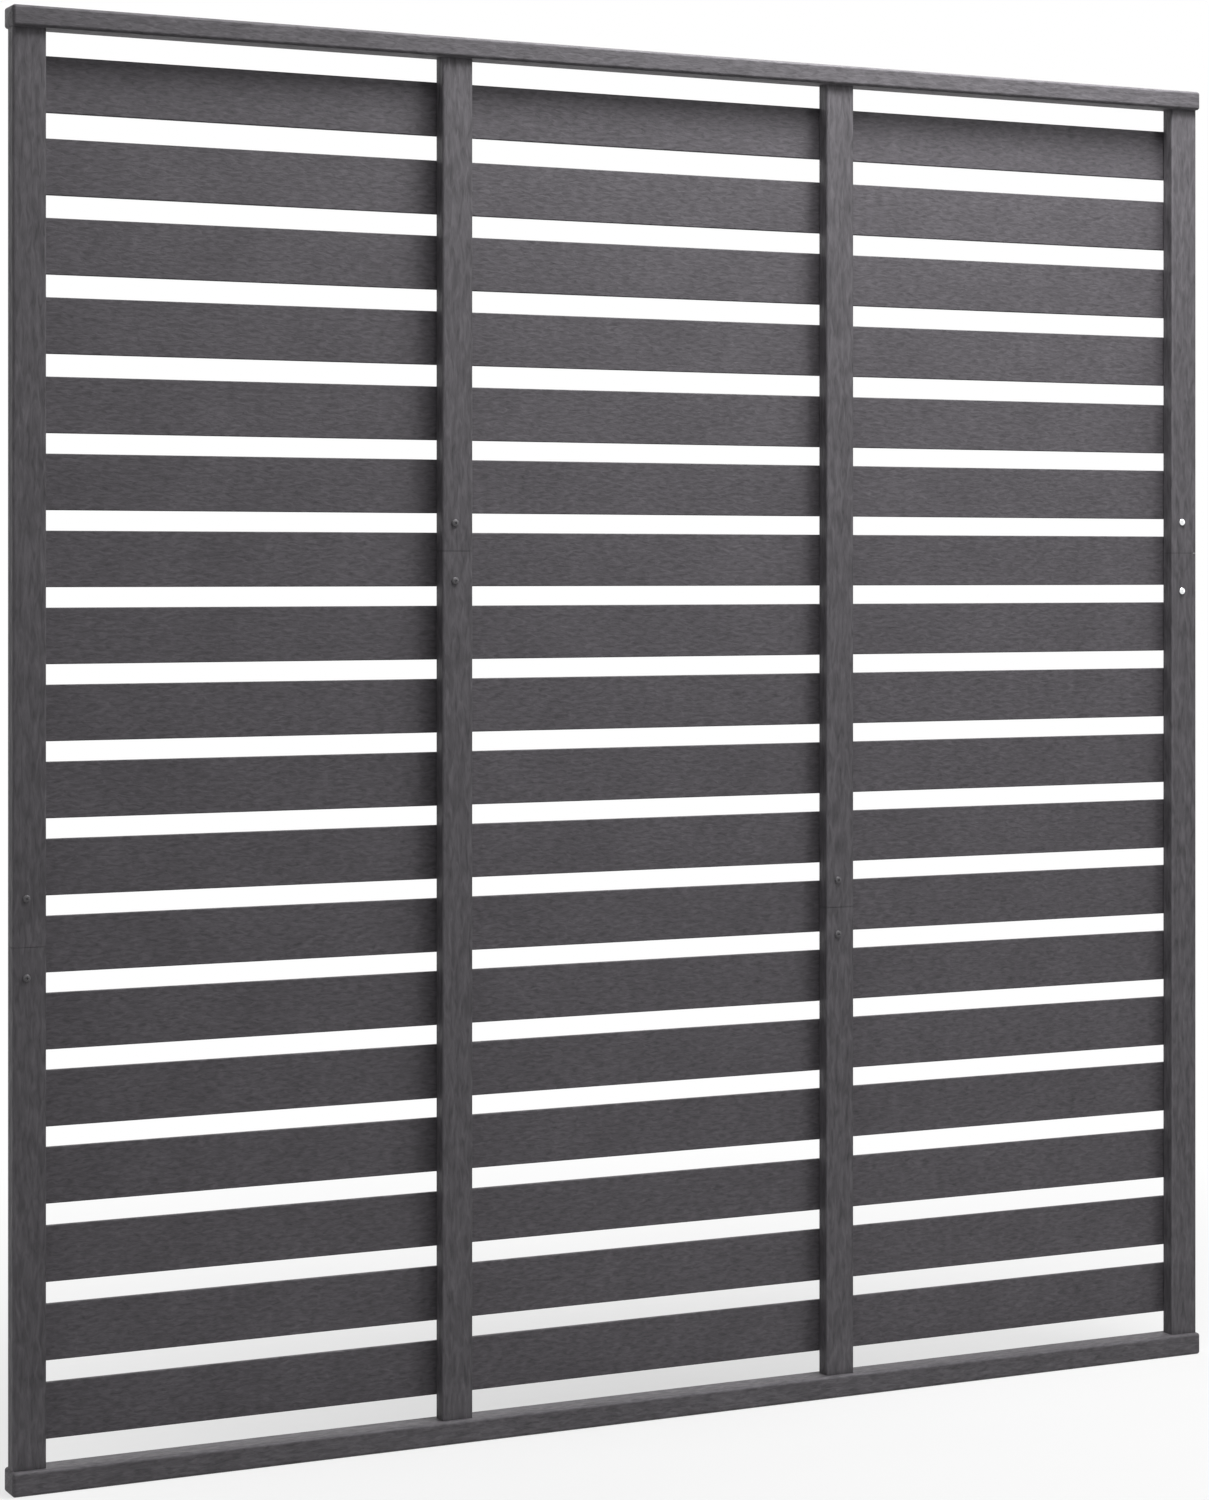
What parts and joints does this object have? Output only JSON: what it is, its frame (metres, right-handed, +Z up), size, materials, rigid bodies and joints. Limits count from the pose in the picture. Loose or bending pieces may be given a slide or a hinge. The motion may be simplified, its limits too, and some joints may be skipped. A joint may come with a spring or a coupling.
{
  "type": "garden privacy screen",
  "caption": "Free-standing slatted garden privacy screen: hollow posts between two rounded rails, full-length horizontal slats screwed to the backs of the posts.",
  "frame": {"origin": "under the middle of the bottom rail, where the panel stands", "axes": "+X along the panel, to the right seen from its front; +Y to its back, where the slats are; +Z up"},
  "size_m": [1.74, 0.038, 1.8],
  "materials": {
    "slats": "matt grey, embossed wood grain along the board",
    "frame": "matt grey, embossed wood grain along the profile",
    "plugs": "plain moulded",
    "joint_channels": "mill finish",
    "bright_screws": "bright zinc",
    "dull_screws": "dull grey coating"
  },
  "bodies": {
    "root": {"slat_01": "slats", "slat_02": "slats", "slat_03": "slats", "slat_04": "slats", "slat_05": "slats", "slat_06": "slats", "slat_07": "slats", "slat_08": "slats", "slat_09": "slats", "slat_10": "slats", "slat_11": "slats", "slat_12": "slats", "slat_13": "slats", "slat_14": "slats", "slat_15": "slats", "slat_16": "slats", "slat_17": "slats", "slat_18": "slats", "left_end_post_lower": "frame", "left_end_post_upper": "frame", "left_middle_post_lower": "frame", "left_middle_post_upper": "frame", "right_middle_post_lower": "frame", "right_middle_post_upper": "frame", "right_end_post_lower": "frame", "right_end_post_upper": "frame", "top_rail": "frame", "top_rail_left_cap": "frame", "top_rail_right_cap": "frame", "bottom_rail": "frame", "bottom_rail_left_cap": "frame", "bottom_rail_right_cap": "frame", "left_end_joint_channel": "joint_channels", "left_end_joint_screws": "dull_screws", "left_end_slat_screws": "dull_screws", "left_end_top_plug": "plugs", "left_end_bottom_plug": "plugs", "left_middle_joint_channel": "joint_channels", "left_middle_joint_screws": "dull_screws", "left_middle_slat_screws": "dull_screws", "left_middle_top_plug": "plugs", "left_middle_bottom_plug": "plugs", "right_middle_joint_channel": "joint_channels", "right_middle_joint_screws": "dull_screws", "right_middle_slat_screws": "dull_screws", "right_middle_top_plug": "plugs", "right_middle_bottom_plug": "plugs", "right_end_joint_channel": "joint_channels", "right_end_joint_screws": "bright_screws", "right_end_slat_screws": "dull_screws", "right_end_top_plug": "plugs", "right_end_bottom_plug": "plugs", "top_rail_screws": "dull_screws", "bottom_rail_screws": "dull_screws"}
  },
  "joints": []
}
